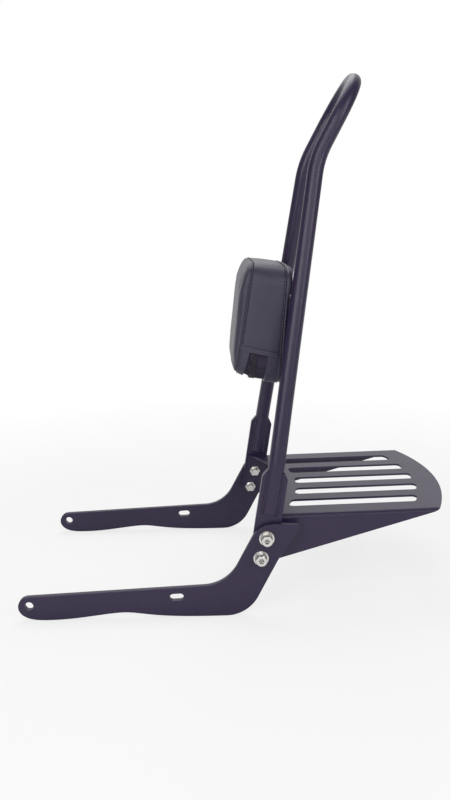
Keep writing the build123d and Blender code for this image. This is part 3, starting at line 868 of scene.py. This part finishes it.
# %% The cover
bmesh.ops.transform(cover, matrix=pad_frame, verts=cover.verts)
cushion = finish_piece("pad_cushion", cover, vinyl)
rounder = cushion.modifiers.new("rounder", "SUBSURF")
rounder.levels = 1
rounder.render_levels = 1
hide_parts("pad_front_panel", "pad_boxing", "pad_back_panel", "pad_foam")
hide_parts("pad_zip_panel")
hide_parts("pad_zip")

# %% [markdown]
# The zip's slider hangs on the far side, where the zip starts. Its body is a bevelled block that narrows to one
# end, as the two rows of teeth come together there. A low bridge on two posts holds the pull, a thin tab that
# hangs down. All of it is one small mesh of scaled cubes. A row of the table gives how far a block's middle is
# outwards and up from the body's, in millimetres, then its size, its rounding and how far it narrows.

# %% Zip slider
SLIDER_DROP = 12.0 * MM
SLIDER_GAP = 0.3 * MM
SLIDER_SIZE = (2.4 * MM, 14.0 * MM, 11.0 * MM)
BRIDGE_POST = (1.6 * MM, 1.6 * MM, 3.4 * MM)
BRIDGE_BAR = (0.9 * MM, 8.6 * MM, 3.4 * MM)
PULL_TAB = (0.9 * MM, 22.0 * MM, 6.4 * MM)
SLIDER_BLOCKS = (
    (0.0, 0.0, SLIDER_SIZE, 0.7 * MM, 0.62),
    (1.9, 3.4, BRIDGE_POST, 0.3 * MM, 1.0),
    (1.9, -3.4, BRIDGE_POST, 0.3 * MM, 1.0),
    (3.0, 0.0, BRIDGE_BAR, 0.35 * MM, 1.0),
    (1.9, -12.0, PULL_TAB, 0.35 * MM, 0.8),
)


def add_block(mesh, middle, size, rounding, narrow):
    """Adds a bevelled block in the pad's frame, narrowed towards its lower end."""
    verts = bmesh.ops.create_cube(mesh, size=1.0)["verts"]
    bmesh.ops.scale(mesh, vec=(1, 1, narrow), verts=[v for v in verts if v.co.y < 0])
    bmesh.ops.scale(mesh, vec=size, verts=verts)
    bmesh.ops.translate(mesh, vec=middle, verts=verts)
    edges = list({edge for vertex in verts for edge in vertex.link_edges})
    bmesh.ops.bevel(mesh, geom=edges, offset=rounding, segments=2, profile=0.5, affect="EDGES", material=-1)


def zip_slider():
    """The slider's body, bridge and pull on the pad's far side."""
    mesh = bmesh.new()
    face = -PAD_WIDTH / 2 - SLIDER_SIZE[0] / 2
    middle = Vector((face - SLIDER_GAP, HEM_EDGE - SLIDER_DROP, CHAIN_LINE))
    for out, up, size, rounding, narrow in SLIDER_BLOCKS:
        add_block(mesh, middle + Vector((-out, up, 0)) * MM, size, rounding, narrow)
    bmesh.ops.transform(mesh, matrix=pad_frame, verts=mesh.verts)
    return mesh


slider = finish_piece("zip_slider", zip_slider(), slider_paint)
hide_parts("pad_zip_slider")

# %% [markdown]
# The legs are slit over their tabs and welded along the creases, and the cross plate is welded to the legs. A
# weld bead is a row of ripples, each one a little of the melted rod. A circle is capped and its cap is extruded
# again and again, and the ring swells and shrinks as it goes. That takes the cap away from the start, so the
# open end is filled afterwards.

# %% A weld bead
WELD_RADIUS = 1.7 * MM
WELD_SIDES = 8
WELD_RIPPLE = 2.0 * MM
RIPPLE_RINGS = 5
RIPPLE_HEIGHT = 0.09


def weld_bead(mesh, start, end):
    """Adds a rippled rod from one point to another."""
    rings = round((end - start).length / WELD_RIPPLE) * RIPPLE_RINGS
    stride = (end - start) / rings
    turn = stride.to_track_quat("Z", "Y").to_matrix().to_4x4()
    spot = Matrix.Translation(start) @ turn
    circle = bmesh.ops.create_circle(mesh, cap_ends=True, segments=WELD_SIDES, radius=WELD_RADIUS, matrix=spot)
    cap = circle["verts"][0].link_faces[0]
    swell = [1 + RIPPLE_HEIGHT * math.cos(2 * math.pi * ring / RIPPLE_RINGS) for ring in range(rings + 1)]
    for ring in range(rings):
        cap = bmesh.ops.extrude_discrete_faces(mesh, faces=[cap])["faces"][0]
        ratio = swell[ring + 1] / swell[ring]
        centre_of_ring = Matrix.Translation(-(start + stride * ring))
        bmesh.ops.scale(mesh, vec=(ratio,) * 3, space=centre_of_ring, verts=cap.verts)
        bmesh.ops.translate(mesh, vec=stride, verts=cap.verts)


def close_ends(mesh):
    """Fills open ends and turns all faces outwards."""
    bmesh.ops.holes_fill(mesh, edges=[edge for edge in mesh.edges if edge.is_boundary], sides=WELD_SIDES)
    bmesh.ops.recalc_face_normals(mesh, faces=mesh.faces)


print("rings in one ripple:", RIPPLE_RINGS)

# %% [markdown]
# Each leg has a bead up both creases on both faces of its tab, and one across each end of the slit tube. Powder
# coat covers the beads like the rest.

# %% Welds on the legs
TUBE_RADIUS = 9.5 * MM
TAB_FACES = (112.5 * MM, 120.5 * MM)
TAB_HALF = 4.0 * MM
TUBE_END = 2.0 * MM
FOOT_DROP = 0.6 * MM
WELD_TOP = 50.5 * MM
crease = math.sqrt(TUBE_RADIUS**2 - TAB_HALF**2)
beads = bmesh.new()
for side in (-1, 1):
    for face in TAB_FACES:
        for edge in (-crease, crease):
            weld_bead(beads, leg_point(TUBE_END, edge, side * face), leg_point(WELD_TOP, edge, side * face))
        foot = TUBE_END - FOOT_DROP
        weld_bead(beads, leg_point(foot, -crease, side * face), leg_point(foot, crease, side * face))
close_ends(beads)
finish_piece("leg_welds", beads, powder)

# %% [markdown]
# The cross plate's welds follow the line where a leaning plate meets a leaning tube. The tube's axis comes
# closer to the middle with height, and the plate crosses it a little off its axis, so the two ends of each bead
# are worked out from a right triangle inside the tube.

# %% Cross plate welds
LEG_SPACING = 116.5 * MM
LEG_TAPER = 0.16387
TAPER_START = 57.0 * MM
CROSS_HALF = 33.5 * MM
CROSS_FACES = (0.0, 4.0 * MM)


def cross_corner(height, behind, side):
    """The point where a face of the cross plate meets a leg."""
    across = pad_frame.to_3x3() @ back_normal
    upward = across.cross(Vector((0, -1, 0)))
    place = leg_point(PAD_MIDDLE, BACK_FORWARD) + upward * height - across * behind
    along = (place - LEG_FOOT).dot(leg_up)
    off_axis = (place - LEG_FOOT).dot(forward)
    lean = math.cos(math.atan(LEG_TAPER))
    reach = math.sqrt(TUBE_RADIUS**2 - off_axis**2) / lean
    return place + Vector((0, side * (LEG_SPACING - LEG_TAPER * (along - TAPER_START) - reach), 0))


beads = bmesh.new()
for side in (-1, 1):
    for behind in CROSS_FACES:
        weld_bead(beads, cross_corner(-CROSS_HALF, behind, side), cross_corner(CROSS_HALF, behind, side))
close_ends(beads)
finish_piece("cross_plate_welds", beads, powder)

# %% [markdown]
# Socket head screws are knurled round the head for the fingers. The knurl is a ring of thin bars set just proud
# of the head, and each bar is a narrow cube whose dark zinc is painted shade. The imported heads carry on
# underneath. A six-sided disc on each socket's floor carries a lighter painted shade.

# %% Knurled screw heads
BOLT_DROP = 25.7 * MM
BOLT_PITCH = 24.2 * MM
BOLT_SKEW = math.radians(7.3)
HEAD_RADIUS = 6.5 * MM
HEAD_SEAT = 128.1 * MM
KNURL_BARS = 40
KNURL_SIZE = (0.5 * MM, 5.4 * MM, 0.5 * MM)
KNURL_MIDDLE = 3.7 * MM
KNURL_SINK = 0.12 * MM
SOCKET_FLOOR = 5.0 * MM
SOCKET_RADIUS = 2.9 * MM
SOCKET_DISC = 1.0 * MM
SOCKET_ROUNDING = 0.1 * MM
quarter_turn = math.radians(90)
upper_bolt = leg_point(-BOLT_DROP)
lower_bolt = leg_point(-BOLT_DROP - BOLT_PITCH * math.cos(BOLT_SKEW), BOLT_PITCH * math.sin(BOLT_SKEW))


def knurl(mesh, bolt, side):
    """Adds the bars round one screw head, whose axis lies along Y."""
    middle = bolt + Vector((0, side * (HEAD_SEAT + KNURL_MIDDLE), 0))
    twist = Matrix.Rotation(quarter_turn / 2, 4, "Y")
    for number in range(KNURL_BARS):
        turn = Matrix.Rotation(2 * math.pi * number / KNURL_BARS, 4, "Y")
        spot = Matrix.Translation(middle) @ turn @ Matrix.Translation((0, 0, HEAD_RADIUS - KNURL_SINK))
        bmesh.ops.create_cube(mesh, size=1.0, matrix=spot @ twist @ Matrix.Diagonal((*KNURL_SIZE, 1)))


def socket_floor(mesh, bolt, side):
    """Adds the floor of one socket, a thin six-sided disc in painted shade."""
    place = bolt + Vector((0, side * (HEAD_SEAT + SOCKET_FLOOR), 0))
    facing = Matrix.Rotation(quarter_turn, 4, "X")
    rim = bmesh.ops.create_cone(
        mesh, cap_ends=True, segments=6, radius1=SOCKET_RADIUS, radius2=SOCKET_RADIUS, depth=SOCKET_DISC,
        matrix=Matrix.Translation(place) @ facing,
    )
    edges = list({edge for vertex in rim["verts"] for edge in vertex.link_edges})
    bmesh.ops.bevel(
        mesh, geom=edges, offset=SOCKET_ROUNDING, segments=1, profile=0.5, affect="EDGES", material=-1
    )


bars, discs = bmesh.new(), bmesh.new()
for bolt in (upper_bolt, lower_bolt):
    for side in (-1, 1):
        knurl(bars, bolt, side)
        socket_floor(discs, bolt, side)
# Both the knurls and the socket floors wear painted shade.
for name, mesh, finish in (("screw_knurls", bars, knurl_shade), ("socket_floors", discs, socket_shade)):
    finish_piece(name, mesh, finish).data.shade_flat()

# %% [markdown]
# On the inner side each screw ends in a lock nut. The nut has a round collar, spun from a small circle, and the
# screw's tip shows its thread. A thread is a helix: a triangle spun round the axis while it steps along it.

# %% Nut collars and threads
NUT_FACE = 103.5 * MM
TIP_FACE = 98.1 * MM
COLLAR_RADIUS = 5.3 * MM
COLLAR_SECTION = 0.95 * MM
COLLAR_SINK = 0.2 * MM
COLLAR_STEPS = 36
SCREW_RADIUS = 4.0 * MM
THREAD_SECTION = 0.42 * MM
THREAD_SINK = 0.1 * MM
THREAD_START = 0.7 * MM
THREAD_PITCH = 1.25 * MM
THREAD_TURNS = 3
TURN_STEPS = 24


def spun_ring(mesh, bolt, side):
    """Adds a round collar on a nut."""
    place = bolt + Vector((COLLAR_RADIUS, side * (NUT_FACE - COLLAR_SINK), 0))
    ring = bmesh.ops.create_circle(mesh, segments=8, radius=COLLAR_SECTION, matrix=Matrix.Translation(place))
    edges = list({edge for vertex in ring["verts"] for edge in vertex.link_edges})
    bmesh.ops.spin(
        mesh, geom=ring["verts"] + edges, cent=bolt, axis=(0, 1, 0), angle=2 * math.pi, steps=COLLAR_STEPS,
        use_merge=True,
    )


def thread_helix(mesh, bolt, side):
    """Adds a screw thread on a tip."""
    place = bolt + Vector((SCREW_RADIUS - THREAD_SINK, side * (TIP_FACE + THREAD_START), 0))
    tooth = bmesh.ops.create_circle(mesh, segments=3, radius=THREAD_SECTION, matrix=Matrix.Translation(place))
    edges = list({edge for vertex in tooth["verts"] for edge in vertex.link_edges})
    bmesh.ops.spin(
        mesh, geom=tooth["verts"] + edges, cent=bolt, axis=(0, 1, 0), angle=2 * math.pi * THREAD_TURNS,
        steps=TURN_STEPS * THREAD_TURNS, dvec=(0, side * THREAD_PITCH / TURN_STEPS, 0),
    )


turned = bmesh.new()
for bolt in (upper_bolt, lower_bolt):
    for side in (-1, 1):
        spun_ring(turned, bolt, side)
        thread_helix(turned, bolt, side)
close_ends(turned)
finish_piece("nut_collars_and_threads", turned, zinc)

# %% [markdown]
# The camera stands where the photograph was taken: about a metre to the left of the part, a little above it,
# looking level across with a slight dip. Its place was found by matching known edges, and the shift keeps
# uprights straight while the part sits low in the frame.

# %% Camera
CAMERA_PLACE = Vector((217.15, -949.89, 440.66)) * MM
CAMERA_YAW = math.radians(1.003)
CAMERA_DIP = math.radians(6.265)
CAMERA_ROLL = math.radians(0.993)
FOCAL_PIXELS = 750.0
IMAGE_HEIGHT = 800.0
IMAGE_SHIFT = -0.125
SENSOR = 36.0
camera_data = bpy.data.cameras.new("camera")
camera_data.sensor_width = SENSOR
camera_data.lens = FOCAL_PIXELS * SENSOR / IMAGE_HEIGHT
camera_data.shift_y = IMAGE_SHIFT
camera = bpy.data.objects.new("camera", camera_data)
bpy.context.scene.collection.objects.link(camera)
look = Vector((math.sin(CAMERA_YAW), math.cos(CAMERA_YAW), 0)) * math.cos(CAMERA_DIP)
look.z = -math.sin(CAMERA_DIP)
level = look.to_track_quat("-Z", "Y")
camera.rotation_euler = (level @ Quaternion((0, 0, 1), -CAMERA_ROLL)).to_euler()
camera.location = CAMERA_PLACE
bpy.context.scene.camera = camera
print("lens in mm:", round(camera_data.lens, 2))

# %% [markdown]
# The part stands on a white sweep, as in a small studio. To the camera the room is plain white. A mirror ray
# sees the same white behind and above the part, but a dimmer room where the camera stands: without something
# dark to reflect, bright screws look like chalk and a black tube looks grey. All other rays get even light.

# %% White room
ROOM_LEVEL = 0.2
DIFFUSE_LEVEL = 0.45
SWEEP_AIM = (0.0, 0.9, 0.45)
SWEEP_EDGE = (0.6, 0.95)


def ray_masks(tree):
    """Masks for camera rays, and for rays that come from a mirror or through glass."""
    kinds = ("Is Camera Ray", "Is Glossy Ray", "Is Transmission Ray")
    seen, glossy, through = (tree.add("ShaderNodeLightPath", {}, {}, kind) for kind in kinds)
    return seen, tree.add("ShaderNodeMath", {"operation": "MAXIMUM"}, {0: glossy, 1: through})


def white_room():
    """The world: white to the camera, graded in mirrors, even light elsewhere."""
    world = bpy.data.worlds.new("white_room")
    world.use_nodes = True
    room = Nodes(world.node_tree)
    background = room.tree.nodes["Background"]
    background.inputs["Color"].default_value = (1, 1, 1, 1)
    seen, mirrored = ray_masks(room)
    direction = room.add("ShaderNodeTexCoord", {}, {}, "Generated")
    aim = {0: direction, 1: SWEEP_AIM}
    aimed = room.add("ShaderNodeVectorMath", {"operation": "DOT_PRODUCT"}, aim, "Value")
    low, high = SWEEP_EDGE
    grading = {"Value": aimed, "From Min": low, "From Max": high, "To Min": ROOM_LEVEL, "To Max": 1.0}
    sweep = room.add("ShaderNodeMapRange", {"interpolation_type": "SMOOTHSTEP"}, grading)
    unseen = mirrored * sweep + (1 - mirrored) * DIFFUSE_LEVEL
    room.feed(background, "Strength", seen + (1 - seen) * unseen)
    bpy.context.scene.world = world
    return world


print("made", white_room().name)

# %% [markdown]
# The floor is pale and keeps the part's soft shadow. Further out it glows white for the camera, so that it runs
# into the background without a line, and mirrors behind the part see that glow too.

# %% Floor
FLOOR_REACH = 6.0
FLOOR_DROP = 0.2 * MM
FLOOR_GREY = 0.75
GLOW_CENTRE = (-0.25, 0.0, 0.0)
GLOW_EDGE = (0.40, 0.95)
MIRROR_EDGE = (0.1, 0.8)
NEAR_GLOW, FAR_GLOW = 0.72, 0.28


def pale_floor():
    """A pale plane that glows white away from the part."""
    grid = bmesh.new()
    bmesh.ops.create_grid(grid, x_segments=1, y_segments=1, size=FLOOR_REACH)
    bmesh.ops.translate(grid, vec=(0, 0, cad_low.z - FLOOR_DROP), verts=grid.verts)
    data = bpy.data.meshes.new("floor")
    grid.to_mesh(data)
    grid.free()
    white = Finish("pale_floor", Base_Color=(FLOOR_GREY, FLOOR_GREY, FLOOR_GREY, 1), Roughness=0.9)
    seen, mirrored = ray_masks(white)
    place = white.place()
    centred = white.add("ShaderNodeMapping", {}, {"Vector": place, "Location": GLOW_CENTRE})
    distance = white.add("ShaderNodeVectorMath", {"operation": "LENGTH"}, {0: centred}, "Value")
    far = white.ramp(distance, *GLOW_EDGE)
    behind = white.ramp(white.add("ShaderNodeSeparateXYZ", {}, {0: place}, "Y"), *MIRROR_EDGE)
    glow = white.add("ShaderNodeEmission", {}, {"Color": (1, 1, 1, 1), "Strength": 1.0})
    mask = seen * (NEAR_GLOW + FAR_GLOW * far) + mirrored * behind
    lit = Link(white, white.shader.outputs[0])
    mixed = white.add("ShaderNodeMixShader", {}, {0: mask, 1: lit, 2: glow})
    white.feed(white.output, "Surface", mixed)
    data.materials.append(white.material)
    floor = bpy.data.objects.new("floor", data)
    bpy.context.scene.collection.objects.link(floor)
    return floor


print("made", pale_floor().name)

# %% [markdown]
# Two tall soft boxes stand at the front, left and right of the camera. On a round tube each one shows as a long
# highlight, and the tube's edges stay dark, which is what makes black paint look black and round. A wide box
# behind the camera fills the middle, and one overhead lights the deck and lays the shadow on the floor.

# %% Soft boxes
SOFT_BOXES = (
    ("left", (-0.69, -1.38, 1.0), (0.30, -0.12, 0.50), 0.70, 1.2, 11.5),
    ("right", (1.47, -1.21, 1.0), (0.30, -0.12, 0.50), 0.70, 1.2, 9.5),
    ("front", (0.25, -2.3, 1.15), (0.30, -0.12, 0.45), 1.6, 1.0, 9.0),
    ("overhead", (0.15, 0.8, 2.0), (cad_low + cad_high) / 2, 1.4, 1.4, 16.0),
)


def soft_box(name, place, target, width, height, power):
    """Adds an area lamp of a size in metres and a power in watts that faces a target."""
    lamp = bpy.data.lights.new(name, "AREA")
    lamp.shape = "RECTANGLE"
    lamp.size = width
    lamp.size_y = height
    lamp.energy = power
    box = bpy.data.objects.new(name, lamp)
    box.location = place
    box.rotation_euler = (Vector(target) - Vector(place)).to_track_quat("-Z", "Y").to_euler()
    bpy.context.scene.collection.objects.link(box)


for row in SOFT_BOXES:
    soft_box(*row)
bpy.context.scene.view_settings.view_transform = "Standard"
